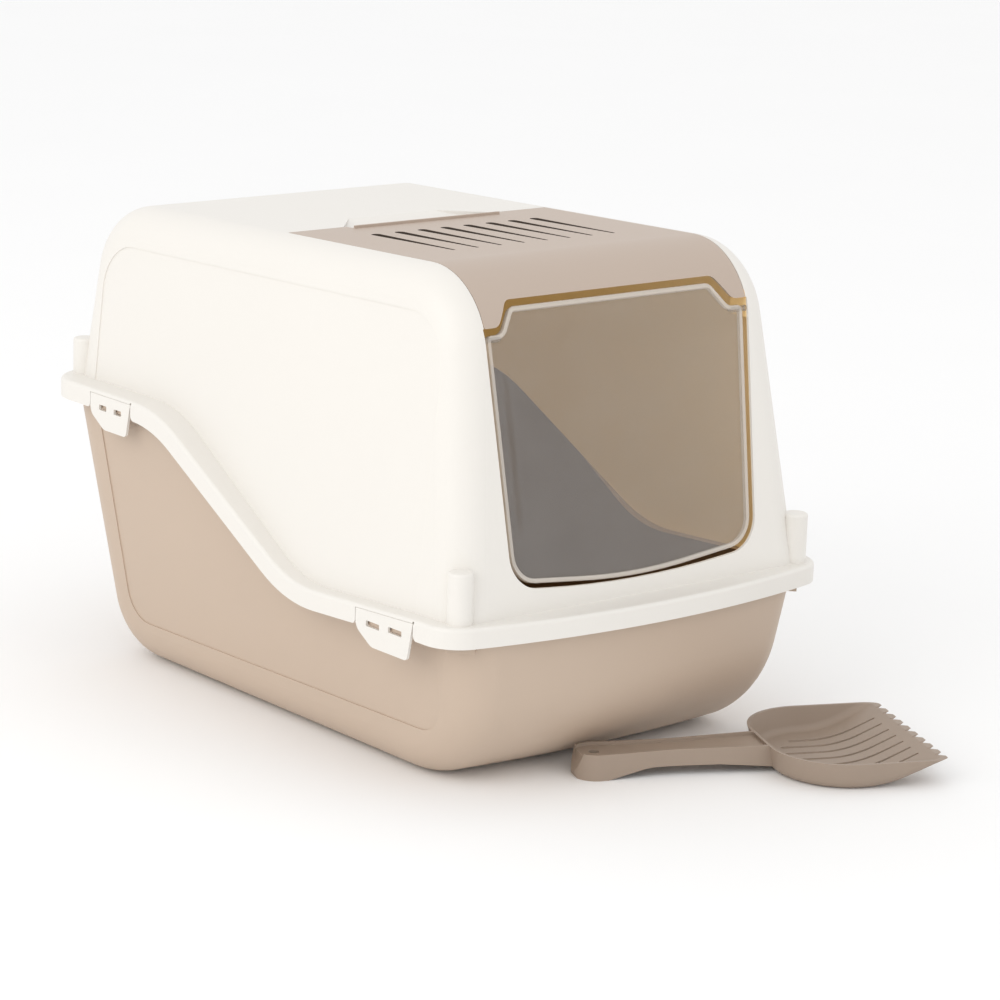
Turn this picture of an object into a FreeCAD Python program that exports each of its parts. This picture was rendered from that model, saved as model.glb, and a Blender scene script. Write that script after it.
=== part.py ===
import FreeCAD, Part
import math
import os

# A hooded cat litter box: a deep tray, a lift-off hood held by four side clips, a tip-up vent
# cover over a carbon filter, a swinging door flap and a loose scoop. Millimetres, +Z up.
# The origin is on the floor under the tray, at mid-width. The doorway faces -Y.

# Overall sizes of the rim that joins tray and hood, seen from above
half_width = 195.0
front_reach = 285.0
rear_reach = 290.0
front_bow = 23.4            # how far the front of the rim bulges at mid-width
front_corner = 30.0
rear_corner = 40.0

# Heights
front_rim = 126.0           # lower edge of the skirt at the front
rear_rim = 220.0            # and at the rear
roof_rear = 384.0           # roof above the rear wall
roof_rise = 0.034           # rise of the roof per millimetre towards the front

# The S-curve of the rim along the sides
incline_y = 39.0            # a point half way down the slope
incline_z = (front_rim + rear_rim) / 2 - 1.0
incline_slope = math.radians(28.5)
front_slope = math.radians(3.0)
front_bend_y = -front_reach + 57.0
upper_bend = 115.0
lower_bend = 130.0
front_bend = 300.0

# Walls and clearances
wall = 2.5
skirt_height = 16.0
rim_edge_round = 3.2
rim_gap = 0.8               # tray rim to the inside of the skirt
seat_gap = 0.3              # tray rim to the underside of the hood's flange
edge_gap = 0.6              # around the vent cover
running_gap = 0.05          # radial, round a hinge pin
bore_end_gap = 0.5
pin_radius = 2.5
pin_reach = 5.5             # pin beyond the side of its own piece

# Tray
tray_floor_half = half_width - 37.0
tray_side_draft = math.radians(6.2)
tray_front = front_reach - 22.0     # front wall at mid-width, where the front skirt ends
tray_front_draft = math.radians(9.0)
tray_rear = rear_reach - 16.0       # rear wall where the rear skirt ends
tray_rear_draft = math.radians(9.5)
tray_front_foot = 95.0      # radius between front wall and floor
tray_rear_foot = 60.0
tray_corner = 34.0
tray_bow = 11.0
panel_depth = 0.9
seat_height = skirt_height - wall - seat_gap    # top of the tray's rim above the wave
rim_inset = wall + rim_gap
lip_low = 1.5               # lower edge of the rim lip above the wave
nub_width = 10.0            # stiffening nubs under the rim's corners
nub_reach = 11.0
nub_drop = 6.0
nub_side = 27.0             # in from the rim's side
nub_end = 35.0              # in from the rim's front
nub_rear_end = 22.0

# Hood
hood_half = half_width - 15.0       # side wall where it meets the front flange
hood_side_draft = math.atan(0.091)
hood_front = front_reach - 28.8     # front wall at the height lean_height
hood_lean = math.radians(9.77)
lean_height = front_rim + 24.0
hood_rear = rear_reach - 8.0        # rear wall where it meets the rear flange
hood_rear_lean = math.radians(5.9)
front_brow = 66.0           # radius between front wall and roof
rear_brow = 60.0
hood_corner = 28.0

# Vent cover
cover_half = hood_half - 47.5
cover_rear = 29.0
cover_thick = 2.2
ear_edge = roof_rear - 28.0         # lower edge of the ears
brow_edge = ear_edge + 18.0         # lower front edge between the ears
ear_outer = cover_half - 13.5
ear_inner = cover_half - 27.5
ear_round = 9.0
lip_half = 75.0             # finger notch in the rear edge
lip_depth = 9.0
lip_height = 2.2            # ridge along the notch
lip_thick = 2.0
slot_pitch = 23.3
slot_width = 8.6            # at the rear end of each slot
slot_tip = 2.6              # and at its front end
slot_margin = 40.0
slot_rear = cover_rear - 44.0
cover_pin_z = ear_edge + 6.0
cover_pin_depth = 6.5       # pin axis behind the outer surface
cover_lug = 5.0
pin_root = 6.0              # pin inside its own piece

# Doorway
door_top_half = hood_half - 46.0
door_low_half = hood_half - 55.0
door_sill = front_rim + 28.0
door_smile = 6.0            # rise of the sill from the middle to its ends
door_corner = 28.0

# Filter deck under the cover
deck_depth = 16.0
deck_front = -hood_front + 88.2
slot_front = deck_front + 50.0
filter_thick = 6.0
filter_border = 18.0
filter_end_gap = 6.0
filter_gap = 0.3
deck_slot = 8.0
deck_slot_front = 26.0      # ends of the deck's slots inside the deck
deck_slot_rear = 20.0

# Finger pocket in the roof, behind the cover
pocket_front_half = 78.0
pocket_rear_half = 45.0
pocket_rear = cover_rear + 37.0
pocket_depth = 9.0

# Door flap
flap_gap = 3.6              # around the flap in the doorway
flap_recess = 3.0           # behind the hood's outer surface
flap_thick = 2.4
flap_rim = 4.0              # width of the bead round its edge
flap_bead = 0.8
flap_round = 8.0
flap_pin_z = ear_edge - 9.0
flap_pin_root = 14.0

# Bosses in the hood that hold the hinge pins
boss_side = 4.0             # past the cover's pin
boss_under = 7.0            # below the flap's pin
boss_over = 9.0             # above and behind the cover's pin

# Corner posts on the hood
post_radius = 10.0
post_height = 40.0
rear_post_height = 30.0
post_round = 2.0

# Clips
clip_thick = 2.2
clip_slit = 0.7
clip_drop = 15.5            # below the skirt's lower edge
clip_taper = 20.0           # sloped rear corner
clip_window_height = 4.6
clip_window_rise = 2.6      # middle of the windows above the skirt's lower edge
clip_bar = 11.0             # between the windows
clip_edge = 13.0            # outside the windows
clip_top_gap = 0.3
clip_relief = 1.2           # radius of the hole at the end of the slit
barb_stand = 0.5            # catches stand out of the lip, short of the clip
barb_end_gap = 2.5
barb_half = 1.4
front_clip = (-front_reach + 62.5, -front_reach + 132.5)
rear_clip = (rear_reach - 132.0, rear_reach - 73.5)

# Scoop
scoop_length = 283.0
scoop_turn = -23.4          # degrees, seen from above
scoop_at = (-50.5, -front_reach + 40.0)
scoop_floor_half = 73.0
scoop_head_start = 154.0
scoop_rear_corner = 58.0
scoop_foot = 9.0            # radius between floor and walls
scoop_wall_height = 22.0
scoop_draft = math.radians(12.8)
scoop_ramp = 50.0           # length of the raised front
scoop_ramp_round = 95.0
scoop_thick = 2.4
handle_end_half = 19.5
handle_waist_half = 14.0
handle_head_half = 21.0
handle_height = 21.0
handle_dish = 2.5
hang_hole = 4.2
hang_at = 17.0
scoop_slots = 7
scoop_slot_width = 5.0
scoop_slot_pitch = 15.5
scoop_teeth = 10
scoop_tooth = 8.0

FAR = 600.0


def unit(a, b):
    """Direction from a to b, both (u, w) pairs."""
    length = math.hypot(b[0] - a[0], b[1] - a[1])
    return (b[0] - a[0]) / length, (b[1] - a[1]) / length


def path_edges(corners, place):
    """Edges through open corners (u, w, radius), each inner corner rounded by its radius."""
    edges = []
    start = place(corners[0][0], corners[0][1])
    for before, here, after in zip(corners, corners[1:], corners[2:]):
        radius = here[2]
        if radius <= 0:
            end = place(here[0], here[1])
            if start.distanceToPoint(end) > 1e-4:
                edges.append(Part.LineSegment(start, end).toShape())
            start = end
            continue
        d_in = unit(before, here)
        d_out = unit(here, after)
        turn = math.acos(max(-1.0, min(1.0, d_in[0] * d_out[0] + d_in[1] * d_out[1])))
        reach = radius * math.tan(turn / 2)
        first = (here[0] - d_in[0] * reach, here[1] - d_in[1] * reach)
        last = (here[0] + d_out[0] * reach, here[1] + d_out[1] * reach)
        inward = unit((0, 0), (d_out[0] - d_in[0], d_out[1] - d_in[1]))
        away = radius / math.cos(turn / 2) - radius
        middle = (here[0] + inward[0] * away, here[1] + inward[1] * away)
        end = place(*first)
        if start.distanceToPoint(end) > 1e-4:
            edges.append(Part.LineSegment(start, end).toShape())
        arc = Part.Arc(end, place(*middle), place(*last))
        edges.append(arc.toShape())
        start = place(*last)
    end = place(corners[-1][0], corners[-1][1])
    if start.distanceToPoint(end) > 1e-4:
        edges.append(Part.LineSegment(start, end).toShape())
    return edges


def prism(corners, axis, low, high):
    """Closed outline of corners (u, w, radius), extruded along x, y or z from low to high."""
    places = {
        "x": lambda u, w: FreeCAD.Vector(low, u, w),
        "y": lambda u, w: FreeCAD.Vector(u, low, w),
        "z": lambda u, w: FreeCAD.Vector(u, w, low),
    }
    along = {"x": (1, 0, 0), "y": (0, 1, 0), "z": (0, 0, 1)}[axis]
    first, last = corners[0], corners[-1]
    seam = ((first[0] + last[0]) / 2, (first[1] + last[1]) / 2, 0)
    wire = Part.Wire(path_edges([seam] + list(corners) + [seam], places[axis]))
    return Part.Face(wire).extrude(FreeCAD.Vector(*along) * (high - low))


def offset_corners(corners, distance):
    """Open corners moved sideways, to the left of their direction, with their radii kept true."""
    moved = []
    for i, (u, w, radius) in enumerate(corners):
        d_in = unit(corners[i - 1], corners[i]) if i else unit(corners[0], corners[1])
        d_out = unit(corners[i], corners[i + 1]) if i < len(corners) - 1 else d_in
        n_in = (-d_in[1], d_in[0])
        n_out = (-d_out[1], d_out[0])
        share = distance / (1 + n_in[0] * n_out[0] + n_in[1] * n_out[1])
        left_turn = d_in[0] * d_out[1] - d_in[1] * d_out[0] > 0
        new_radius = radius and radius + (-distance if left_turn else distance)
        moved.append((u + share * (n_in[0] + n_out[0]), w + share * (n_in[1] + n_out[1]), new_radius))
    return moved


def mirrored(shape):
    return shape.mirror(FreeCAD.Vector(0, 0, 0), FreeCAD.Vector(1, 0, 0))


def cylinder(radius, length, base, direction):
    return Part.makeCylinder(radius, length, FreeCAD.Vector(*base), FreeCAD.Vector(*direction))


def block(low, high):
    size = [b - a for a, b in zip(low, high)]
    return Part.makeBox(*size, FreeCAD.Vector(*low))


def fuse(shapes):
    whole = shapes[0].fuse(list(shapes[1:]))
    return whole.removeSplitter()


# ---- the rim's wave, seen from the side: corners (y, z, radius) from front to rear ----

def wave_corners():
    run = math.tan(incline_slope)
    fall = math.tan(front_slope)
    upper_y = incline_y + (rear_rim - incline_z) / run
    foot_z = front_rim - fall * -front_bend_y
    lower_y = (foot_z - incline_z + run * incline_y) / (run + fall)
    lower_z = incline_z + run * (lower_y - incline_y)
    return [
        (-FAR, front_rim, 0),
        (front_bend_y, front_rim, front_bend),
        (lower_y, lower_z, lower_bend),
        (upper_y, rear_rim, upper_bend),
        (FAR, rear_rim, 0),
    ]


def rim_below(height):
    """Everything under the wave raised by height, measured square to the wave."""
    edge = offset_corners(wave_corners(), height)
    return prism(edge + [(FAR, -FAR, 0), (-FAR, -FAR, 0)], "x", -FAR, FAR)


def rim_above(height):
    edge = offset_corners(wave_corners(), height)
    return prism(edge + [(FAR, FAR, 0), (-FAR, FAR, 0)], "x", -FAR, FAR)


def rim_band(low, high):
    under = offset_corners(wave_corners(), low)
    over = offset_corners(wave_corners(), high)
    return prism(under + over[::-1], "x", -FAR, FAR)


def rim_plan(inset):
    """Tall block with the rim's outline from above, inset on every side."""
    bow_radius = (half_width ** 2 + front_bow ** 2) / (2 * front_bow)
    centre_y = -front_reach + bow_radius
    half = half_width - inset
    radius = bow_radius - inset
    corner_y = centre_y - math.sqrt(radius ** 2 - half ** 2)
    rear = rear_reach - inset
    left_front = FreeCAD.Vector(-half, corner_y, -FAR)
    right_front = FreeCAD.Vector(half, corner_y, -FAR)
    left_rear = FreeCAD.Vector(-half, rear, -FAR)
    right_rear = FreeCAD.Vector(half, rear, -FAR)
    nose = FreeCAD.Vector(0, centre_y - radius, -FAR)
    wire = Part.Wire([
        Part.Arc(left_front, nose, right_front).toShape(),
        Part.LineSegment(right_front, right_rear).toShape(),
        Part.LineSegment(right_rear, left_rear).toShape(),
        Part.LineSegment(left_rear, left_front).toShape(),
    ])
    solid = Part.Face(wire).extrude(FreeCAD.Vector(0, 0, 2 * FAR))
    upright = [e for e in solid.Edges if e.BoundBox.ZLength > FAR]
    solid = solid.makeFillet(front_corner - inset, [e for e in upright if e.CenterOfMass.y < 0])
    upright = [e for e in solid.Edges if e.BoundBox.ZLength > FAR and e.CenterOfMass.y > rear - 1]
    return solid.makeFillet(rear_corner - inset, upright)


# ---- the hood's body and the tray's body, each at any inset ----

def drafted_sides(half, at_z, draft, inset):
    """Between two side walls that lean by draft, inward going up when draft is positive."""
    shift = inset / math.cos(draft)
    top = half - shift - math.tan(draft) * (FAR - at_z)
    bottom = half - shift + math.tan(draft) * (FAR + at_z)
    corners = [(-bottom, -FAR, 0), (bottom, -FAR, 0), (top, FAR, 0), (-top, FAR, 0)]
    return prism(corners, "y", -FAR, FAR)


def roof_height(y):
    return roof_rear + roof_rise * (225.0 - y)


def hood_profile():
    """Side view of the hood's body, clockwise from the front foot: corners (y, z, radius)."""
    low = 60.0
    lean = math.tan(hood_lean)
    back = math.tan(hood_rear_lean)
    front_low = -hood_front + lean * (low - lean_height)
    top_front_y = (-hood_front + lean * (roof_rear + roof_rise * 225.0 - lean_height)) / (1 + lean * roof_rise)
    flange_rear = rear_rim + skirt_height
    top_rear_y = (hood_rear - back * (roof_rear + roof_rise * 225.0 - flange_rear)) / (1 - back * roof_rise)
    rear_low = hood_rear + back * (flange_rear - low)
    return [
        (front_low, low, 0),
        (top_front_y, roof_height(top_front_y), front_brow),
        (top_rear_y, roof_height(top_rear_y), rear_brow),
        (rear_low, low, 0),
    ]


def hood_body(inset):
    profile = offset_corners(hood_profile(), -inset) if inset else hood_profile()
    body = prism(profile, "x", -FAR, FAR)
    body = body.common(drafted_sides(hood_half, front_rim + skirt_height, hood_side_draft, inset))
    rim = [e for e in body.Edges if abs(e.CenterOfMass.x) > 50 and e.CenterOfMass.z > 61]
    return body.makeFillet(hood_corner - inset, rim)


def tray_body(inset):
    """The tray's outside, or its inside at a positive inset. It is open upwards without end."""
    front_tan = math.tan(tray_front_draft)
    nose = tray_front + tray_bow
    half = tray_floor_half + 150.0
    bow_radius = (tray_floor_half ** 2 + tray_bow ** 2) / (2 * tray_bow) - inset
    high = 320.0
    front_low = nose - front_tan * front_rim - inset / math.cos(tray_front_draft)
    centre_y = -front_low + bow_radius
    side_y = centre_y - math.sqrt(bow_radius ** 2 - half ** 2)
    rear_low = tray_rear - math.tan(tray_rear_draft) * rear_rim - inset / math.cos(tray_rear_draft)
    floor = inset
    lift = front_tan * floor
    a = FreeCAD.Vector(-half, side_y - lift, floor)
    b = FreeCAD.Vector(half, side_y - lift, floor)
    nose_at = FreeCAD.Vector(0, -front_low - lift, floor)
    c = FreeCAD.Vector(half, FAR, floor)
    d = FreeCAD.Vector(-half, FAR, floor)
    wire = Part.Wire([
        Part.Arc(a, nose_at, b).toShape(),
        Part.LineSegment(b, c).toShape(),
        Part.LineSegment(c, d).toShape(),
        Part.LineSegment(d, a).toShape(),
    ])
    rise = high - floor
    body = Part.Face(wire).extrude(FreeCAD.Vector(0, -front_tan * rise, rise))
    back_low = rear_low + math.tan(tray_rear_draft) * -FAR
    back_high = rear_low + math.tan(tray_rear_draft) * FAR
    body = body.common(prism(
        [(-FAR, -FAR, 0), (back_low, -FAR, 0), (back_high, FAR, 0), (-FAR, FAR, 0)], "x", -FAR, FAR))
    body = body.common(drafted_sides(tray_floor_half, 0.0, -tray_side_draft, inset))
    feet = [e for e in body.Edges if abs(e.CenterOfMass.x) < 1 and e.BoundBox.ZMax < floor + 1]
    front_foot = [e for e in feet if e.CenterOfMass.y < 0]
    body = body.makeFillet(tray_front_foot - inset, front_foot)
    feet = [e for e in body.Edges if abs(e.CenterOfMass.x) < 1 and e.BoundBox.ZMax < floor + 1]
    rear_foot = [e for e in feet if e.CenterOfMass.y > 0 and e.BoundBox.YLength < 1]
    rear_foot = sorted(rear_foot, key=lambda e: -e.CenterOfMass.y)[:1]
    body = body.makeFillet(tray_rear_foot - inset, rear_foot)
    chain = [e for e in body.Edges if abs(e.CenterOfMass.x) > 50 and e.BoundBox.ZMin < high - 1]
    return body.makeFillet(tray_corner - inset, chain)


def front_wall_y(z):
    return -hood_front + math.tan(hood_lean) * (z - lean_height)


def brow_y(z):
    """Outer surface of the hood at height z on the rounded edge between front wall and roof."""
    foot, peak, back = hood_profile()[:3]
    d_in = unit(foot, peak)
    d_out = unit(peak, back)
    turn = math.acos(d_in[0] * d_out[0] + d_in[1] * d_out[1])
    inward = unit((0, 0), (d_out[0] - d_in[0], d_out[1] - d_in[1]))
    away = front_brow / math.cos(turn / 2)
    centre = (peak[0] + inward[0] * away, peak[1] + inward[1] * away)
    return centre[0] - math.sqrt(front_brow ** 2 - (z - centre[1]) ** 2)


# ---- tray ----


def side_panel_cut(corners, half, at_z, draft):
    """What comes off both side walls to sink the panel with this outline (y, z, radius)."""
    return prism(corners, "x", -FAR, FAR).cut(drafted_sides(half, at_z, draft, panel_depth))


def tray():
    panel = [
        (-tray_front + 41.0, 44.0, 28),
        (tray_rear - 74.0, 37.0, 28),
        (tray_rear - 42.0, rear_rim + 40, 0),
        (-tray_front + 41.0, front_rim + 40, 0),
    ]
    body = tray_body(0).common(rim_below(seat_height))
    body = body.cut(side_panel_cut(panel, tray_floor_half, 0.0, -tray_side_draft))
    plate = rim_plan(rim_inset).common(rim_band(seat_height - wall, seat_height))
    ring = rim_plan(rim_inset).cut(rim_plan(rim_inset + wall))
    lip = ring.common(rim_band(lip_low, seat_height))
    pieces = [body, plate, lip]
    inner_lip = rim_plan(rim_inset + wall / 2)
    for side in (-1, 1):
        nubs = [
            (side * (half_width - nub_side + 2.0), -front_reach + nub_end, -45.0 * side, front_rim),
            (side * (half_width - nub_side), rear_reach - nub_rear_end, 45.0 * side, rear_rim),
        ]
        for x, y, turn, rim in nubs:
            nub = block((-nub_width / 2, -nub_reach, rim - nub_drop),
                        (nub_width / 2, nub_reach, rim + seat_height - wall / 2))
            nub.rotate(FreeCAD.Vector(0, 0, 0), FreeCAD.Vector(0, 0, 1), turn)
            nub.translate(FreeCAD.Vector(x, y, 0))
            pieces.append(nub.common(inner_lip))
    for (y_low, y_high), line in ((front_clip, front_line), (rear_clip, rear_line)):
        for low, high in clip_windows(y_low, y_high):
            z = line((low + high) / 2) + clip_window_rise
            barb = block((half_width - rim_inset - wall / 2, low + barb_end_gap, z - barb_half),
                         (half_width - rim_inset + barb_stand, high - barb_end_gap, z + barb_half))
            pieces += [barb, mirrored(barb)]
    whole = fuse(pieces)
    return whole.cut(tray_body(wall)).removeSplitter()


# ---- clips: tabs in the plane of the skirt that swing out at their top edge ----

def front_line(y):
    """Lower edge of the skirt on its straight, slightly rising run beside the front clips."""
    return front_rim - math.tan(front_slope) * (y - front_bend_y)


def rear_line(y):
    return rear_rim


def clip_top(line, y):
    return line(y) + skirt_height - wall - clip_top_gap


def clip_windows(y_low, y_high):
    """The two windows, as (low, high) along Y."""
    middle = (y_low + y_high) / 2
    return [(y_low + clip_edge, middle - clip_bar / 2), (middle + clip_bar / 2, y_high - clip_edge)]


def clip(y_low, y_high, line):
    """The left-hand clip between y_low and y_high, with its rounded hinge edge on top."""
    foot = line((y_low + y_high) / 2) - clip_drop
    outline = [
        (y_low, clip_top(line, y_low) - clip_thick / 2, 0),
        (y_low + 6.0, foot, 4.0),
        (y_high - clip_taper, foot, 12.0),
        (y_high, foot + 12.0, 10.0),
        (y_high, clip_top(line, y_high) - clip_thick / 2, 0),
    ]
    plate = prism(outline, "x", -half_width, -half_width + clip_thick)
    first = FreeCAD.Vector(-half_width + clip_thick / 2, y_low, clip_top(line, y_low) - clip_thick / 2)
    last = FreeCAD.Vector(first.x, y_high, clip_top(line, y_high) - clip_thick / 2)
    bead = Part.makeCylinder(clip_thick / 2, first.distanceToPoint(last), first, last - first)
    body = plate.fuse(bead)
    for low, high in clip_windows(y_low, y_high):
        middle = line((low + high) / 2) + clip_window_rise
        window = prism([
            (low, middle - clip_window_height / 2, 0.8),
            (high, middle - clip_window_height / 2, 0.8),
            (high, middle + clip_window_height / 2, 0.8),
            (low, middle + clip_window_height / 2, 0.8),
        ], "x", -half_width - 5, -half_width + clip_thick + 5)
        body = body.cut(window)
    return body


def clip_cut(y_low, y_high, line):
    """The slot in the left skirt that a clip sits in, with its round relief hole."""
    low, high = y_low - clip_slit, y_high + clip_slit
    corner = 5.0
    under = 0.4
    outline = [
        (low, clip_top(line, low) + clip_top_gap, 0),
        (low, line(low) - under, corner),
        (low - 2 * corner, line(low - 2 * corner) - under, 0),
        (low - 2 * corner, -FAR, 0),
        (high + 2 * corner, -FAR, 0),
        (high + 2 * corner, line(high + 2 * corner) - under, 0),
        (high, line(high) - under, corner),
        (high, clip_top(line, high) + clip_top_gap, 0),
    ]
    slot = prism(outline, "x", -FAR, -half_width + wall + 0.2)
    relief_at = (-FAR, low + 0.2, clip_top(line, low) + 0.4)
    relief = cylinder(clip_relief, FAR - half_width + wall + 0.2, relief_at, (1, 0, 0))
    return slot.fuse(relief)


# ---- doorway, vent cover and door flap share these outlines, seen from the front ----

def door_path():
    """Left side, sill and right side of the doorway: open corners (x, z, radius)."""
    end = door_sill + 1.35 * door_smile
    dip = door_sill - 0.65 * door_smile
    slope = (end - dip) / door_low_half
    smile_radius = 0.72 * door_low_half / slope
    return [
        (-door_top_half, ear_edge, 0),
        (-door_low_half, end, door_corner),
        (0, dip, smile_radius),
        (door_low_half, end, door_corner),
        (door_top_half, ear_edge, 0),
    ]


def cover_outline():
    return [
        (-cover_half, ear_edge, 1.5),
        (-ear_outer, ear_edge, ear_round),
        (-ear_inner, brow_edge, ear_round),
        (ear_inner, brow_edge, ear_round),
        (ear_outer, ear_edge, ear_round),
        (cover_half, ear_edge, 1.5),
        (cover_half, FAR, 0),
        (-cover_half, FAR, 0),
    ]


def flap_path():
    """Closed path round the flap from the middle of its top edge, anticlockwise from the front."""
    sides = offset_corners(door_path(), flap_gap)
    shoulder = ear_edge - 1.3 * flap_gap
    top = brow_edge - flap_gap
    side_share = (ear_edge - shoulder) / (sides[0][1] - sides[1][1])
    shoulder_half = -(sides[0][0] + (sides[1][0] - sides[0][0]) * side_share)
    notch = ear_outer - flap_gap
    tongue = ear_inner - flap_gap
    return (
        [(0, top, 0), (-tongue, top, flap_round), (-notch, shoulder, flap_round),
         (-shoulder_half, shoulder, 3)]
        + sides[1:-1]
        + [(shoulder_half, shoulder, 3), (notch, shoulder, flap_round),
           (tongue, top, flap_round), (0, top, 0)]
    )


def cover_pin_y():
    return brow_y(cover_pin_z) + cover_pin_depth


def flap_pin_y():
    return front_wall_y(flap_pin_z) + (flap_recess + flap_thick / 2) / math.cos(hood_lean)


def flap_half_at_pin():
    left = flap_path()[3]
    low = flap_path()[4]
    share = (left[1] - flap_pin_z) / (left[1] - low[1])
    return -(left[0] + (low[0] - left[0]) * share)


# ---- hood ----

deck_floor = roof_height(cover_rear) - deck_depth


def pocket(grow, sink):
    """The finger pocket's hollow, widened by grow and sunk by sink."""
    front = cover_rear - lip_depth
    flare = (pocket_front_half - pocket_rear_half) / (pocket_rear - cover_rear)
    near = pocket_front_half + grow + flare * (cover_rear - front)
    plan = prism([
        (-near, front, 0),
        (near, front, 0),
        (pocket_rear_half + grow, pocket_rear + grow, 6),
        (-pocket_rear_half - grow, pocket_rear + grow, 6),
    ], "z", -FAR, FAR)
    floor_rear = roof_height(pocket_rear) - sink
    floor_front = roof_height(front) - pocket_depth - sink
    side = prism([
        (front - 1, floor_front, 0),
        (pocket_rear + grow, floor_rear, 0),
        (pocket_rear + grow, FAR, 0),
        (front - 1, FAR, 0),
    ], "x", -FAR, FAR)
    return plan.common(side)


def posts(radius, drop):
    """The four corner posts, or their hollows at a smaller radius and lowered by drop."""
    lean_in = 1 - math.sqrt(0.5)
    found = []
    for front in (True, False):
        base = (front_rim if front else rear_rim) + skirt_height
        tall = post_height if front else rear_post_height
        half = hood_half - math.tan(hood_side_draft) * (base - front_rim - skirt_height)
        x = half - lean_in * hood_corner
        y = front_wall_y(base) + lean_in * hood_corner if front else hood_rear - lean_in * hood_corner
        post = cylinder(radius, tall + wall, (x, y, base - wall - drop), (0, 0, 1))
        if drop == 0:
            cap = [e for e in post.Edges if e.BoundBox.ZMin > base + tall - 1]
            post = post.makeFillet(post_round, cap)
        found += [post, mirrored(post)]
    return found


def hood():
    side_panel = [
        (-hood_front + 49.2, front_rim, 0),
        (-hood_front + 49.2, roof_rear - 18.0, 40),
        (hood_rear - 36.0, roof_rear - 32.0, 40),
        (hood_rear - 36.0, rear_rim - 60, 0),
    ]
    rim = rim_plan(0).common(rim_band(0, skirt_height))
    top_edges = [e for e in rim.Edges if on_rim_top(e)]
    rim = rim.makeFillet(rim_edge_round, top_edges)
    body = hood_body(0).common(rim_above(skirt_height - wall))
    body = body.cut(side_panel_cut(side_panel, hood_half, front_rim + skirt_height, hood_side_draft)
                    .common(rim_above(skirt_height)))
    shell = fuse([body, rim] + posts(post_radius, 0))
    hollow = rim_plan(wall).common(rim_below(skirt_height - wall))
    shell = shell.cut(hollow.fuse([hood_body(wall)] + posts(post_radius - wall, wall)))
    shell = shell.cut(prism(door_path(), "y", -FAR, deck_front))
    gap_half = cover_half + edge_gap
    gap_rear = cover_rear + edge_gap
    shell = shell.cut(block((-gap_half, -FAR, ear_edge - 0.01), (gap_half, gap_rear, FAR)))

    deck = block((-gap_half - wall, deck_front, deck_floor - wall), (gap_half + wall, gap_rear + wall, FAR))
    chamber = block((-gap_half, deck_front + wall, deck_floor), (gap_half, gap_rear, FAR))
    deck = deck.common(hood_body(0)).cut(chamber)
    front_wall = block((-gap_half, -FAR, -FAR), (gap_half, deck_front + wall + 0.1, FAR))
    deck = deck.cut(front_wall.cut(hood_body(cover_thick + edge_gap)))
    pocket_walls = pocket(wall, wall).common(hood_body(0)).cut(chamber)
    whole = fuse([shell, deck, pocket_walls]).cut(pocket(0, 0))

    pitch = 2 * deck_slot
    count = int((cover_half - filter_border) // pitch)
    for i in range(-count, count + 1):
        whole = whole.cut(prism([
            (i * pitch - deck_slot / 2, deck_front + deck_slot_front, deck_slot * 0.49),
            (i * pitch + deck_slot / 2, deck_front + deck_slot_front, deck_slot * 0.49),
            (i * pitch + deck_slot / 2, cover_rear - deck_slot_rear, deck_slot * 0.49),
            (i * pitch - deck_slot / 2, cover_rear - deck_slot_rear, deck_slot * 0.49),
        ], "z", deck_floor - wall - 1, deck_floor + 1))

    inside = hood_body(wall / 2)
    for side in (-1, 1):
        near, far = sorted((side * gap_half, side * (cover_half + pin_reach + boss_side)))
        boss = block((near, -FAR, flap_pin_z - boss_under),
                     (far, cover_pin_y() + boss_over, cover_pin_z + boss_over))
        boss = boss.common(inside)
        whole = whole.fuse(boss.cut(prism(door_path(), "y", -FAR, deck_front)))
        for y, z, tip in (
            (cover_pin_y(), cover_pin_z, cover_half + pin_reach),
            (flap_pin_y(), flap_pin_z, flap_half_at_pin() + pin_reach),
        ):
            bore = cylinder(pin_radius + running_gap, tip + bore_end_gap, (0, y, z), (side, 0, 0))
            inner = tip - pin_reach - flap_pin_root
            whole = whole.cut(bore.cut(block((-inner, -FAR, 0), (inner, FAR, FAR))))
    for (y_low, y_high), line in ((front_clip, front_line), (rear_clip, rear_line)):
        slot = clip_cut(y_low, y_high, line)
        whole = whole.cut(slot).cut(mirrored(slot))
    return whole.removeSplitter()


def on_rim_top(edge):
    """True for the outer upper edges of the rim band, which follow the wave all round."""
    box = edge.BoundBox
    if box.ZLength > skirt_height - 1 and box.XLength < 1 and box.YLength < 1:
        return False
    over = rim_above(skirt_height - 0.5)
    middle = edge.valueAt((edge.FirstParameter + edge.LastParameter) / 2)
    quarter = edge.valueAt(edge.FirstParameter * 0.7 + edge.LastParameter * 0.3)
    return over.isInside(middle, 1e-3, True) and over.isInside(quarter, 1e-3, True)


# ---- vent cover ----

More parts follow.
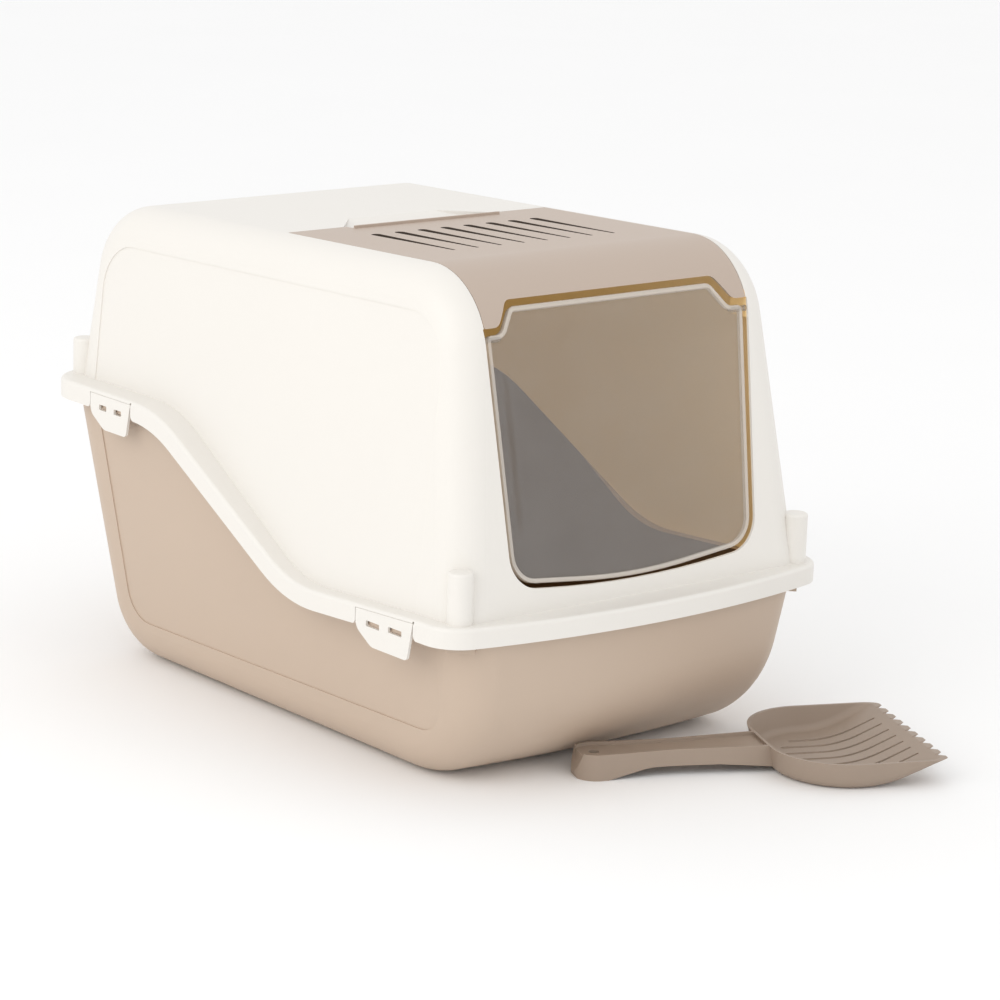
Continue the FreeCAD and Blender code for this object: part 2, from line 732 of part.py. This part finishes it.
def vent_cover():
    outline = prism(cover_outline(), "y", -FAR, cover_rear)
    body = hood_body(0).cut(hood_body(cover_thick)).common(outline)
    deep = hood_body(0).cut(hood_body(4 * cover_thick)).common(outline)
    border_front = deck_front + wall + edge_gap
    for side in (-1, 1):
        near, far = sorted((side * (cover_half - cover_thick), side * cover_half))
        border = deep.common(block((near, border_front, ear_edge), (far, cover_rear, FAR)))
        body = body.fuse(border)
    notch = prism([
        (-lip_half, cover_rear - lip_depth, 6),
        (lip_half, cover_rear - lip_depth, 6),
        (lip_half, FAR, 0),
        (-lip_half, FAR, 0),
    ], "z", -FAR, FAR)
    ridge = prism([
        (-lip_half, cover_rear - lip_depth - lip_thick, 0.8),
        (lip_half, cover_rear - lip_depth - lip_thick, 0.8),
        (lip_half, cover_rear - lip_depth, 0.8),
        (-lip_half, cover_rear - lip_depth, 0.8),
    ], "z", deck_floor, roof_height(cover_rear - lip_depth) + lip_height)
    body = body.cut(notch).fuse(ridge.cut(hood_body(cover_thick)))
    slot_count = int(2 * (cover_half - slot_margin) // slot_pitch) + 1
    for i in range(slot_count):
        x = (i - (slot_count - 1) / 2) * slot_pitch
        body = body.cut(prism([
            (x - slot_tip / 2, slot_front, slot_tip * 0.45),
            (x + slot_tip / 2, slot_front, slot_tip * 0.45),
            (x + slot_width / 2, slot_rear, slot_width * 0.45),
            (x - slot_width / 2, slot_rear, slot_width * 0.45),
        ], "z", deck_floor, FAR))
    for side in (-1, 1):
        start = (side * (cover_half - pin_root), cover_pin_y(), cover_pin_z)
        lug = cylinder(cover_lug, pin_root, start, (side, 0, 0)).common(hood_body(0))
        pin = cylinder(pin_radius, pin_root + pin_reach, start, (side, 0, 0))
        body = body.fuse([lug, pin])
    return body.removeSplitter()


def carbon_filter():
    half = cover_half - filter_border
    return prism([
        (-half, deck_front + wall + filter_end_gap, 4),
        (half, deck_front + wall + filter_end_gap, 4),
        (half, cover_rear - filter_end_gap, 4),
        (-half, cover_rear - filter_end_gap, 4),
    ], "z", deck_floor + filter_gap, deck_floor + filter_gap + filter_thick)


# ---- door flap ----

def door_flap():
    outside = prism(flap_path(), "y", -FAR, deck_front)
    inside = prism(offset_corners(flap_path(), flap_rim), "y", -FAR, deck_front)
    sheet = hood_body(flap_recess).cut(hood_body(flap_recess + flap_thick)).common(outside)
    bead = hood_body(flap_recess - flap_bead).cut(hood_body(flap_recess + flap_thick + flap_bead))
    bead = bead.common(outside.cut(inside))
    body = fuse([sheet, bead])
    for side in (-1, 1):
        start = (side * (flap_half_at_pin() - flap_pin_root), flap_pin_y(), flap_pin_z)
        body = body.fuse(cylinder(pin_radius, flap_pin_root + pin_reach, start, (side, 0, 0)))
    return body.removeSplitter()


# ---- scoop, built along +X from the end of its handle, then turned and laid beside the box ----

def scoop_head(inset):
    """The head's outside, or its hollow at a positive inset. It is open upwards and forwards."""
    high = 60.0
    lean = math.tan(scoop_draft)
    rear_foot = scoop_head_start + lean * scoop_wall_height
    ramp_foot = scoop_length - scoop_ramp
    climb = scoop_wall_height / scoop_ramp
    profile = [
        (rear_foot - lean * high, high, 0),
        (rear_foot, 0.0, 0),
        (ramp_foot, 0.0, scoop_ramp_round),
        (scoop_length + scoop_ramp, climb * 2 * scoop_ramp, 0),
        (scoop_length + scoop_ramp, high, 0),
    ]
    if inset:
        profile = offset_corners(profile, inset)
    side = prism(profile, "y", -FAR, FAR)
    shift = inset / math.cos(scoop_draft)
    half = scoop_floor_half - shift
    spread = lean * high
    walls = prism([
        (-half + spread, -high, 0),
        (half - spread, -high, 0),
        (half + spread, high, 0),
        (-half - spread, high, 0),
    ], "x", -FAR, FAR)
    head = side.common(walls)
    rear = [e for e in head.Edges if e.BoundBox.ZLength > high / 2 and e.CenterOfMass.x < rear_foot]
    head = head.makeFillet(scoop_rear_corner - inset, rear)
    foot = [e for e in head.Edges if on_scoop_foot(e, rear_foot)]
    return head.makeFillet(scoop_foot - inset, foot)


def on_scoop_foot(edge, rear_foot):
    """True for the edges between the scoop's floor and its walls, up to the raised front."""
    middle = edge.valueAt((edge.FirstParameter + edge.LastParameter) / 2)
    climb = scoop_wall_height / scoop_ramp
    floor_z = max(0.0, climb * (middle.x - scoop_length + scoop_ramp))
    low = abs(middle.z - floor_z) < 2 * scoop_thick + 1.0
    across = abs(middle.y) < 1.0 and middle.x > rear_foot + 2 * scoop_thick
    ahead = middle.x > scoop_length + scoop_ramp - 1.0
    return low and not across and not ahead


def handle_plan(inset):
    head_end = scoop_head_start + 25.0
    waist = scoop_head_start * 0.5
    return prism([
        (inset, -handle_end_half + inset, handle_end_half * 0.9 - inset),
        (waist, -handle_waist_half + inset, 200),
        (head_end, -handle_head_half + inset, 0),
        (head_end, handle_head_half - inset, 0),
        (waist, handle_waist_half - inset, 200),
        (inset, handle_end_half - inset, handle_end_half * 0.9 - inset),
    ], "z", 0, 3 * handle_height)


def handle_side(drop):
    """Everything under the handle's top, lowered by drop. Its end leans in towards the top."""
    return prism([
        (5.0, handle_height - drop, 0),
        (40.0, handle_height - drop, 60),
        (scoop_head_start, scoop_wall_height - drop, 60),
        (scoop_length, scoop_wall_height - drop, 0),
        (scoop_length, -1.0, 0),
        (2.0, -1.0, 0),
        (0.0, 4.0, 0),
    ], "y", -FAR, FAR)


def scoop():
    head = scoop_head(0).cut(scoop_head(scoop_thick))
    head = head.common(block((0, -FAR, -1), (scoop_length, FAR, scoop_wall_height)))
    for i in range(scoop_slots):
        v = (i - (scoop_slots - 1) / 2) * scoop_slot_pitch
        slot_back = scoop_head_start + 20 + 0.010 * v * v
        slot_end = scoop_length - scoop_tooth - 6.0
        half = scoop_slot_width / 2
        head = head.cut(prism([
            (slot_back, v - half, half * 0.98),
            (slot_end, v - half * 0.5, half * 0.45),
            (slot_end, v + half * 0.5, half * 0.45),
            (slot_back, v + half, half * 0.98),
        ], "z", -1, FAR))
    tip_half = scoop_floor_half + math.tan(scoop_draft) * scoop_wall_height
    tooth = 2 * tip_half / scoop_teeth
    for i in range(1, scoop_teeth):
        v = -tip_half + i * tooth
        head = head.cut(prism([
            (scoop_length - scoop_tooth, v, 1.0),
            (scoop_length + 5, v - tooth * 0.46, 0),
            (scoop_length + 5, v + tooth * 0.46, 0),
        ], "z", -1, FAR))
    under = prism([
        (16, -1.0, 0),
        (24, 0.0, 15),
        (58, 8.0, 60),
        (scoop_head_start * 0.75, 8.0, 60),
        (scoop_head_start + 30, 3.0, 0),
        (scoop_head_start + 30, -1.0, 0),
    ], "y", -FAR, FAR)
    handle = handle_plan(0).common(handle_side(0)).cut(under)
    hollow = handle_plan(scoop_thick)
    handle = handle.cut(hollow.cut(handle_side(handle_dish)))
    handle = handle.cut(hollow.common(handle_side(handle_dish + scoop_thick)))
    handle = handle.cut(scoop_head(scoop_thick))
    collar = cylinder(hang_hole + scoop_thick, handle_height - handle_dish - 1, (hang_at, 0, 0), (0, 0, 1))
    eye = cylinder(hang_hole, handle_height + 1, (hang_at, 0, -1), (0, 0, 1))
    whole = fuse([head, handle, collar.cut(under)]).cut(eye)
    whole.rotate(FreeCAD.Vector(0, 0, 0), FreeCAD.Vector(0, 0, 1), scoop_turn)
    whole.translate(FreeCAD.Vector(scoop_at[0], scoop_at[1], 0))
    return whole.removeSplitter()


def main():
    os.makedirs("parts", exist_ok=True)
    front_left = clip(*front_clip, front_line)
    rear_left = clip(*rear_clip, rear_line)
    pieces = {
        "tray": tray(),
        "hood": hood(),
        "vent_cover": vent_cover(),
        "carbon_filter": carbon_filter(),
        "door_flap": door_flap(),
        "clip_front_left": front_left,
        "clip_front_right": mirrored(front_left),
        "clip_rear_left": rear_left,
        "clip_rear_right": mirrored(rear_left),
        "scoop": scoop(),
    }
    for name, shape in pieces.items():
        shape.exportStep(f"parts/{name}.step")
        box = shape.optimalBoundingBox()
        print(name, shape.isValid(), len(shape.Solids), round(shape.Volume / 1000, 2),
              [round(v, 1) for v in (box.XMin, box.XMax, box.YMin, box.YMax, box.ZMin, box.ZMax)])


main()
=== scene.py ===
import math

import bmesh
import bpy
import numpy as np
from mathutils import Matrix, Vector


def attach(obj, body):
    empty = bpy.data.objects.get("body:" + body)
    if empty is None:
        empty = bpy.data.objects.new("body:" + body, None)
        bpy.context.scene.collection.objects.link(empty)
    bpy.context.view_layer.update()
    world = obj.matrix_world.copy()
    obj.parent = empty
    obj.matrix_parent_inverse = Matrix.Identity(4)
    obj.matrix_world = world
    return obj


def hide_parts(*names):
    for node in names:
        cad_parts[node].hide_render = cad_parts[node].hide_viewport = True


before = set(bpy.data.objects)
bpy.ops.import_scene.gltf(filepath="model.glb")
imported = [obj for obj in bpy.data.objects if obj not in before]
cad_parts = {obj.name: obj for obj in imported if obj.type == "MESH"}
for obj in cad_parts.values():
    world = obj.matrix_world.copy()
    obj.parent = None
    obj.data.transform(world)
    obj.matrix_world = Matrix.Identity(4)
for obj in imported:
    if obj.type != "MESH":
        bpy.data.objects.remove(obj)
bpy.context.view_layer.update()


# ---------------------------------------------------------------- tub
# The deep lower tub is injection moulded in one shot from taupe polypropylene. Its walls keep the
# fine spark-eroded grain of the mould, and its rim, catches and ribs are part of the same moulding.

class Signal:
    """A value in a material; arithmetic on it adds the Math nodes."""

    def __init__(self, finish, socket):
        self.finish = finish
        self.socket = socket

    def math(self, operation, first, second=0.0):
        return self.finish.add("ShaderNodeMath", {"operation": operation}, {0: first, 1: second})

    def __add__(self, other):
        return self.math("ADD", self, other)

    __radd__ = __add__

    def __sub__(self, other):
        return self.math("SUBTRACT", self, other)

    def __rsub__(self, other):
        return self.math("SUBTRACT", other, self)

    def __mul__(self, other):
        return self.math("MULTIPLY", self, other)

    __rmul__ = __mul__

    def __abs__(self):
        return self.math("ABSOLUTE", self)

    def clipped(self):
        """The value kept between 0 and 1."""
        return self.math("MAXIMUM", self.math("MINIMUM", self, 1.0), 0.0)


class Finish:
    """One procedural material, built around a Principled shader."""

    def __init__(self, name, **constants):
        self.material = bpy.data.materials.new(name)
        self.material.use_nodes = True
        self.tree = self.material.node_tree
        self.shader = self.tree.nodes["Principled BSDF"]
        self.place = self.add("ShaderNodeTexCoord", {}, {}, out="Object")
        for key, value in constants.items():
            self.shader.inputs[key.replace("_", " ")].default_value = value

    def add(self, kind, settings, sockets, out=0):
        """Adds a node; sockets gives its inputs as signals or constants."""
        node = self.tree.nodes.new(kind)
        for key, value in settings.items():
            setattr(node, key, value)
        for key, value in sockets.items():
            self.join(node.inputs[key], value)
        return Signal(self, node.outputs[out])

    def join(self, socket, value):
        if isinstance(value, Signal):
            self.tree.links.new(value.socket, socket)
        else:
            socket.default_value = value

    def feed(self, **inputs):
        for key, value in inputs.items():
            self.join(self.shader.inputs[key.replace("_", " ")], value)

    def noise(self, scale, detail=2.0, rough=0.5, place=None):
        return self.add("ShaderNodeTexNoise", {}, {
            "Vector": place or self.place, "Scale": scale, "Detail": detail, "Roughness": rough,
        })

    def vector(self, operation, first, second, out=0):
        return self.add("ShaderNodeVectorMath", {"operation": operation}, {0: first, 1: second}, out)

    def split(self, vector, axis):
        return self.add("ShaderNodeSeparateXYZ", {}, {0: vector}, out=axis)

    def facing(self):
        return self.add("ShaderNodeTexCoord", {}, {}, out="Normal")

    def bump(self, height, strength, distance, **under):
        sockets = {"Strength": strength, "Distance": distance, "Height": height, **under}
        return self.add("ShaderNodeBump", {}, sockets, out="Normal")

    def blend(self, share, low, high):
        sockets = {"Factor": share, "A": low, "B": high}
        return self.add("ShaderNodeMix", {"data_type": "RGBA"}, sockets, out="Result")

    def edges(self, width=0.0007, sharpness=6.0):
        """1 along sharp edges, falling to 0 over the given width."""
        flat = self.add("ShaderNodeNewGeometry", {}, {}, out="Normal")
        eased = self.add("ShaderNodeBevel", {"samples": 3}, {"Radius": width})
        match = self.vector("DOT_PRODUCT", flat, eased, "Value")
        return ((1.0 - match) * sharpness).clipped()

    def within(self, middle, walls, turn_rate=400.0, wall_rate=1500.0):
        """1 on the inner faces of a hollow shell around middle; walls are (direction, distance)."""
        towards = self.vector("SUBTRACT", middle, self.place)
        mask = (self.vector("DOT_PRODUCT", self.facing(), towards, "Value") * turn_rate).clipped()
        for direction, distance in walls:
            reached = self.vector("DOT_PRODUCT", self.place, direction, "Value")
            mask = mask * ((distance - reached) * wall_rate).clipped()
        return mask


def moulded(name, colour, roughness, mottle=0.03, region=None, shade=None, glow=None, **constants):
    """Moulded polypropylene: slight clouding, spark-eroded grain, painted highlights on sharp edges and
    rippled walls.

    region gives a mask of the faces painted in the colour shade, as painted shade in hollows and as painted
    light on thin walls, and with glow, a faint painted glow.
    """
    plastic = Finish(name, **constants)
    cloud = plastic.noise(9.0, 3.0, 0.55)
    speck = plastic.noise(900.0, 1.0, 0.5)
    share = (cloud * 0.75 + speck * 0.25).clipped()
    dark = tuple(c * (1 - mottle) for c in colour) + (1,)
    light = tuple(min(1.0, c * (1 + mottle)) for c in colour) + (1,)
    # Painted highlight: sharp edges are painted lighter, in patches, where they catch the light.
    edge_highlight_colour = tuple(min(1.0, c * 1.10 + 0.02) for c in colour) + (1,)
    edge_highlight_share = (plastic.edges() * (plastic.noise(60.0, 2.0) * 0.7 + 0.3)).clipped()
    tone = plastic.blend(edge_highlight_share, plastic.blend(share, dark, light), edge_highlight_colour)
    if region:
        inside = region(plastic)
        tone = plastic.blend(inside, tone, shade + (1,))
        if glow:
            plastic.feed(Emission_Color=plastic.blend(inside, (0, 0, 0, 1), glow + (1,)))
    grain = plastic.bump(plastic.noise(2600.0, 2.0, 0.6), 0.10, 0.0004)
    ripple = plastic.bump(plastic.noise(16.0, 1.0, 0.4), 0.06, 0.004, Normal=grain)
    plastic.feed(
        Base_Color=tone,
        Roughness=(cloud * 0.10 + speck * 0.06 + (roughness - 0.08)).clipped(),
        Normal=ripple,
    )
    return plastic


def dress(node, finish):
    """Gives a CAD node its real material."""
    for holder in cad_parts[node].material_slots:
        holder.material = finish.material


tub_colour = (0.555, 0.440, 0.345)
# Painted shade: the inner faces of the tub are painted dark brown, as the shade inside the closed box; the
# tub is taupe inside as well.
tub_inside_painted_shade = (0.200, 0.128, 0.070)
tub_middle = (0.0, 0.0, 0.08)
tub_walls = (
    ((1.0, 0.0, -0.1086), 0.1566), ((-1.0, 0.0, -0.1086), 0.1566),
    ((0.0, -1.0, -0.1584), 0.2418), ((0.0, 1.0, -0.1673), 0.2360),
)


def tub_painted_shade_faces(plastic):
    return plastic.within(tub_middle, tub_walls)


dress("tray", moulded("tub_plastic", tub_colour, 0.46, region=tub_painted_shade_faces, shade=tub_inside_painted_shade))


# ---------------------------------------------------------------- hood
# The hood is one thin-walled moulding in warm white polypropylene, a little translucent; the golden light
# shining through onto its inside is painted on the inner faces as a golden colour and a faint glow. Four
# posts, the filter deck and the pocket are moulded in.

white_colour = (0.800, 0.772, 0.726)
# Painted light: the inner faces of the hood are painted golden and given a faint emission, standing in for
# light shining through the thin walls.
hood_inside_painted_glow = (0.82, 0.62, 0.36)
hood_painted_glow_emission = (0.215, 0.134, 0.042)
hood_middle = (0.0, 0.0, 0.25)
hood_walls = (
    ((1.0, 0.0, 0.091), 0.1909), ((-1.0, 0.0, 0.091), 0.1909),
    ((0.0, -1.0, 0.1722), 0.2800), ((0.0, 1.0, 0.1033), 0.3044),
    ((0.7071, -0.7071, 0.186), 0.3220), ((-0.7071, -0.7071, 0.186), 0.3220),
    ((0.7071, 0.7071, 0.1374), 0.3394), ((-0.7071, 0.7071, 0.1374), 0.3394),
    ((0.0, 0.0, 1.0), 0.3620),
)


def hood_painted_glow_faces(plastic):
    return plastic.within(hood_middle, hood_walls)


dress("hood", moulded("hood_plastic", white_colour, 0.42, mottle=0.012, region=hood_painted_glow_faces,
                      shade=hood_inside_painted_glow, glow=hood_painted_glow_emission, Emission_Strength=1.0))


# ---------------------------------------------------------------- clips
# Four tabs in the plane of the skirt, moulded with the hood and bent out at a thin line along
# their top edge. Each has two windows that the catches of the tub snap into.

white_plastic = moulded("white_plastic", white_colour, 0.42, mottle=0.012)
for clip in ("clip_front_left", "clip_front_right", "clip_rear_left", "clip_rear_right"):
    dress(clip, white_plastic)


# ---------------------------------------------------------------- vent cover
# The slotted lid of the filter chamber, in the tub's taupe, wrapped down the brow of the hood to
# two ears. It turns on pins at the ears and is lifted by its rear edge.

cover_colour = (0.500, 0.405, 0.335)
slot_shade = (0.075, 0.055, 0.040)
slot_row_half = 0.115
slot_rear, slot_front = -0.0120, -0.1215


def in_slots(plastic, rate=2000.0):
    """1 on the upright walls of the slots, which stay in shade."""
    upright = ((0.6 - abs(plastic.split(plastic.facing(), "Z"))) * 8.0).clipped()
    row = ((slot_row_half - abs(plastic.split(plastic.place, "X"))) * rate).clipped()
    along = plastic.split(plastic.place, "Y")
    length = ((slot_rear - along) * rate).clipped() * ((along - slot_front) * rate).clipped()
    return upright * row * length


cover_plastic = moulded("cover_plastic", cover_colour, 0.44, region=in_slots, shade=slot_shade)
dress("vent_cover", cover_plastic)


# ---------------------------------------------------------------- carbon filter
# A needled felt pad filled with activated carbon, cut to the size of the deck.

felt = Finish("carbon_felt", Roughness=0.95, Sheen_Weight=0.2)
fibre = felt.noise(700.0, 4.0, 0.7)
felt.feed(
    Base_Color=felt.blend(fibre, (0.006, 0.006, 0.007, 1), (0.045, 0.044, 0.045, 1)),
    Normal=felt.bump(fibre, 0.8, 0.001),
)
dress("carbon_filter", felt)


# ---------------------------------------------------------------- door flap
# The door is pressed from smoked translucent sheet with a raised bead round its edge. Its middle
# is dished back to stiffen it, and it hangs on two pins moulded in one with its shoulders.

door_pivot = Vector((0.0, -0.218017, 0.347))
door_lean = math.radians(9.77)
door_wall = (-0.2562, 0.150)        # a point of the hood's front wall, as (y, z)
brow_radius = 0.066
brow_centre = (-0.15806, 0.33098)


def wall_depth(z):
    """Y of the hood's front wall at height z, and the sine and cosine of its slope there."""
    lean_sine = math.sin(door_lean)
    if z <= brow_centre[1] + brow_radius * lean_sine:
        y = door_wall[0] + math.tan(door_lean) * (z - door_wall[1])
        return y, lean_sine, math.cos(door_lean)
    rise = min(0.999, (z - brow_centre[1]) / brow_radius)
    flat = math.sqrt(1 - rise * rise)
    return brow_centre[0] - brow_radius * flat, rise, flat


def rounded(corners, pieces=9, step=0.012):
    """Points along a closed outline of (x, z, radius) corners, never further apart than step."""
    points = []
    for n, (x, z, radius) in enumerate(corners):
        here = np.array((x, z))
        before = np.array(corners[n - 1][:2]) - here
        after = np.array(corners[(n + 1) % len(corners)][:2]) - here
        before_length, after_length = np.linalg.norm(before), np.linalg.norm(after)
        before, after = before / before_length, after / after_length
        half = math.acos(np.clip(before @ after, -1, 1)) / 2
        reach = min(radius / math.tan(half), 0.49 * before_length, 0.49 * after_length)
        radius = reach * math.tan(half)
        centre = here + (before + after) / np.linalg.norm(before + after) * radius / math.sin(half)
        start, end = here + before * reach - centre, here + after * reach - centre
        sweep = math.atan2(start[0] * end[1] - start[1] * end[0], start @ end)
        for k in range(pieces + 1):
            turn = sweep * k / pieces
            points.append(centre + (start[0] * math.cos(turn) - start[1] * math.sin(turn),
                                    start[0] * math.sin(turn) + start[1] * math.cos(turn)))
    spaced = []
    for n, point in enumerate(points):
        following = points[(n + 1) % len(points)]
        steps = max(1, int(np.linalg.norm(following - point) / step))
        spaced += [point + (following - point) * k / steps for k in range(steps)]
    return np.array(spaced)


door_edge = rounded([
    (-0.1014, 0.3704, 0.009), (-0.1154, 0.3513, 0.009), (-0.1300, 0.3513, 0.005),
    (-0.1218, 0.1655, 0.0245), (0.0, 0.1537, 0.55), (0.1218, 0.1655, 0.0245),
    (0.1300, 0.3513, 0.005), (0.1154, 0.3513, 0.009), (0.1014, 0.3704, 0.009),
])
door_middle = np.array((0.0, 0.262))
dish_edge = rounded([
    (-0.0965, 0.3300, 0.020), (-0.0935, 0.1930, 0.032), (0.0, 0.1850, 0.40),
    (0.0935, 0.1930, 0.032), (0.0965, 0.3300, 0.020),
])


def towards_dish(point):
    """Where the line from point to the middle of the door meets the dish's edge."""
    ray = point - door_middle
    out = 0.0
    for a, b in zip(dish_edge, np.roll(dish_edge, -1, axis=0)):
        side = b - a
        det = side[0] * ray[1] - side[1] * ray[0]
        if abs(det) < 1e-12:
            continue
        gap = door_middle - a
        along = (gap[0] * ray[1] - gap[1] * ray[0]) / det
        if -1e-6 <= along <= 1 + 1e-6:
            out = max(out, (gap[0] * side[1] - gap[1] * side[0]) / det)
    return door_middle + ray * out


forward = np.roll(door_edge, -1, axis=0) - np.roll(door_edge, 1, axis=0)
forward /= np.linalg.norm(forward, axis=1)[:, None]
onward = np.roll(door_edge, -1, axis=0)
turning = np.sign(np.sum(door_edge[:, 0] * onward[:, 1] - onward[:, 0] * door_edge[:, 1]))
inwards = np.stack((-forward[:, 1], forward[:, 0]), axis=1) * turning
dish_foot = np.array([towards_dish(point) for point in door_edge])
recess, bead_height, sheet = 0.0030, 0.0009, 0.0024
dish_depth, crown = 0.0095, 0.0020
bead_profile = (                    # (inset from the edge, share of the bead's height)
    (0.0, -0.0004 / bead_height), (0.0005, 0.7), (0.0013, 1.0), (0.0024, 1.0), (0.0033, 0.5), (0.0040, 0.0),
)
slope_steps, floor_steps = 12, 7
rings = [(door_edge + inwards * inset, recess - bead_height * height) for inset, height in bead_profile]
bead_rings = len(rings)
border = rings[-1][0]
for k in range(1, slope_steps + 1):
    share = k / slope_steps
    fall = share * share * (3 - 2 * share)
    rings.append((border + (dish_foot - border) * share, recess + dish_depth * fall))
for k in range(1, floor_steps):
    share = k / floor_steps
    rings.append((dish_foot + (door_middle - dish_foot) * share,
                  recess + dish_depth - crown * (1 - (1 - share) ** 2)))

front_points, back_points = [], []
for n, (ring, sink) in enumerate(rings + [(door_middle[None, :], recess + dish_depth - crown)]):
    for x, z in ring:
        y, rise, flat = wall_depth(z)
        thick = sheet + (bead_height if n < bead_rings - 1 else 0.0)
        front_points.append((x, y + sink * flat, z - sink * rise))
        back_points.append((x, y + (sink + thick) * flat, z - (sink + thick) * rise))

door_mesh = bmesh.new()
count = len(door_edge)
total = len(rings)
edges = []
bead = door_mesh.verts.layers.float.new("bead")
for points in (front_points, back_points):
    corners = [door_mesh.verts.new(point) for point in points]
    for corner in corners[:count * (bead_rings - 1)]:
        corner[bead] = 1.0
    edges.append(corners[:count])
    for n in range(count):
        m = (n + 1) % count
        for k in range(total - 1):
            low, high = k * count, (k + 1) * count
            door_mesh.faces.new([corners[c] for c in (low + n, low + m, high + m, high + n)])
        last = (total - 1) * count
        door_mesh.faces.new([corners[last + n], corners[last + m], corners[-1]])
for n in range(count):
    m = (n + 1) % count
    door_mesh.faces.new([edges[0][n], edges[1][n], edges[1][m], edges[0][m]])


def turned_pin(mesh, start, end, profile, sides=32):
    """A round pin from start to end; profile gives (share of the length, radius)."""
    start, end = Vector(start), Vector(end)
    up = Vector((0, 0, 1))
    side = (end - start).normalized().cross(up)
    rows = []
    for share, radius in profile:
        centre = start.lerp(end, share)
        rows.append([mesh.verts.new(centre + (side * math.cos(a) + up * math.sin(a)) * radius)
                     for a in (2 * math.pi * k / sides for k in range(sides))])
    for low, high in zip(rows, rows[1:]):
        for k in range(sides):
            m = (k + 1) % sides
            mesh.faces.new([low[k], low[m], high[m], high[k]])
    mesh.faces.new(rows[0][::-1])
    mesh.faces.new(rows[-1])


pin_root, pin_tip = 0.1160, 0.1355
pin_profile = ((0.0, 0.0012), (0.10, 0.0024), (0.14, 0.0025), (0.95, 0.0025), (0.985, 0.0023), (1.0, 0.0018))
for side in (-1, 1):
    ends = [(side * x, door_pivot.y, door_pivot.z) for x in (pin_root, pin_tip)]
    turned_pin(door_mesh, ends[0], ends[1], pin_profile)


smoke = Finish("smoked_sheet", Specular_IOR_Level=0.75, IOR=1.5)
haze = smoke.noise(24.0, 3.0, 0.5)
stretched = smoke.vector("MULTIPLY", smoke.place, (60.0, 60.0, 900.0))
scuff = smoke.noise(1.0, place=stretched)
# Painted highlight: the bead round the edge is painted pale where it catches the light, and made more
# opaque.
rim = smoke.add("ShaderNodeAttribute", {"attribute_name": "bead"}, {}, out="Fac")
tint = smoke.blend(haze, (0.375, 0.350, 0.328, 1), (0.420, 0.395, 0.370, 1))
smoke.feed(
    Base_Color=smoke.blend(rim, tint, (0.70, 0.64, 0.57, 1)),
    Roughness=(haze * 0.10 + scuff * 0.06 + 0.12).clipped(),
    Alpha=(haze * 0.05 + rim * 0.40 + 0.24).clipped(),
    Normal=smoke.bump(haze, 0.05, 0.001),
)

bmesh.ops.recalc_face_normals(door_mesh, faces=door_mesh.faces)
door_data = bpy.data.meshes.new("door_flap_sheet")
door_mesh.to_mesh(door_data)
door_mesh.free()
door_data.polygons.foreach_set("use_smooth", [True] * len(door_data.polygons))
door_data.set_sharp_from_angle(angle=math.radians(40.0))
door_data.materials.append(smoke.material)
door_sheet = bpy.data.objects.new("door_flap_sheet", door_data)
bpy.context.scene.collection.objects.link(door_sheet)
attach(door_sheet, "door_flap")
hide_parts("door_flap")


# ---------------------------------------------------------------- scoop
# The litter scoop is moulded in a little darker taupe, with seven slots and a toothed lip. Its
# handle is dished on top and hollow underneath, and has an eye to hang it by.

scoop_colour = (0.350, 0.272, 0.213)
scoop_plastic = moulded("scoop_plastic", scoop_colour, 0.50)
dress("scoop", scoop_plastic)


# ---------------------------------------------------------------- studio
# A seamless pale sweep with a large soft lamp on the left, a weaker one in front and an even sky.

reach = 6.0
floor_corners = [(-reach, -reach, 0.0), (reach, -reach, 0.0), (reach, reach, 0.0), (-reach, reach, 0.0)]
floor_mesh = bpy.data.meshes.new("studio_floor")
floor_mesh.from_pydata(floor_corners, [], [(0, 1, 2, 3)])
studio_floor = bpy.data.objects.new("studio_floor", floor_mesh)
bpy.context.scene.collection.objects.link(studio_floor)
paper = Finish("studio_paper", Roughness=0.9)
paper.feed(Base_Color=paper.blend(paper.noise(3.0), (0.955, 0.955, 0.955, 1), (0.97, 0.97, 0.97, 1)))
floor_mesh.materials.append(paper.material)


def softbox(name, at, size, power, colour, aim=(0.0, 0.0, 0.2)):
    """A rectangular lamp at a point, turned towards the box."""
    lamp = bpy.data.lights.new(name, "AREA")
    lamp.shape = "RECTANGLE"
    lamp.size, lamp.size_y = size
    lamp.energy = power
    lamp.color = colour
    holder = bpy.data.objects.new(name, lamp)
    holder.location = at
    holder.rotation_euler = (Vector(aim) - Vector(at)).to_track_quat("-Z", "Y").to_euler()
    bpy.context.scene.collection.objects.link(holder)


softbox("left_softbox", (-2.6, -0.4, 1.6), (2.4, 2.0), 20.0, (1.0, 0.985, 0.96))
softbox("front_softbox", (0.6, -3.0, 2.2), (2.2, 1.6), 2.4, (1.0, 0.99, 0.98))
softbox("top_softbox", (0.2, 0.6, 3.0), (2.6, 2.6), 0.8, (1.0, 1.0, 1.0))

world = bpy.data.worlds.new("studio_air")
world.use_nodes = True
sky = world.node_tree.nodes["Background"]
sky.inputs["Color"].default_value = (1.0, 1.0, 1.0, 1)
sky.inputs["Strength"].default_value = 0.98
bpy.context.scene.world = world
bpy.context.scene.view_settings.view_transform = "Standard"

camera_data = bpy.data.cameras.new("camera")
camera = bpy.data.objects.new("camera", camera_data)
bpy.context.scene.collection.objects.link(camera)
camera_data.sensor_width = 36.0
camera_data.lens = 130.33
camera_data.clip_end = 50.0
ahead = Vector((0.6215, 0.7458, -0.2397)).normalized()
up_hint = Vector((0.12579, 0.20706, 0.9702))
across = ahead.cross(up_hint).normalized()
above = across.cross(ahead)
turn = Matrix((across, above, -ahead)).transposed().to_4x4()
camera.matrix_world = Matrix.Translation((-1.81198, -2.25970, 0.87839)) @ turn
bpy.context.scene.camera = camera
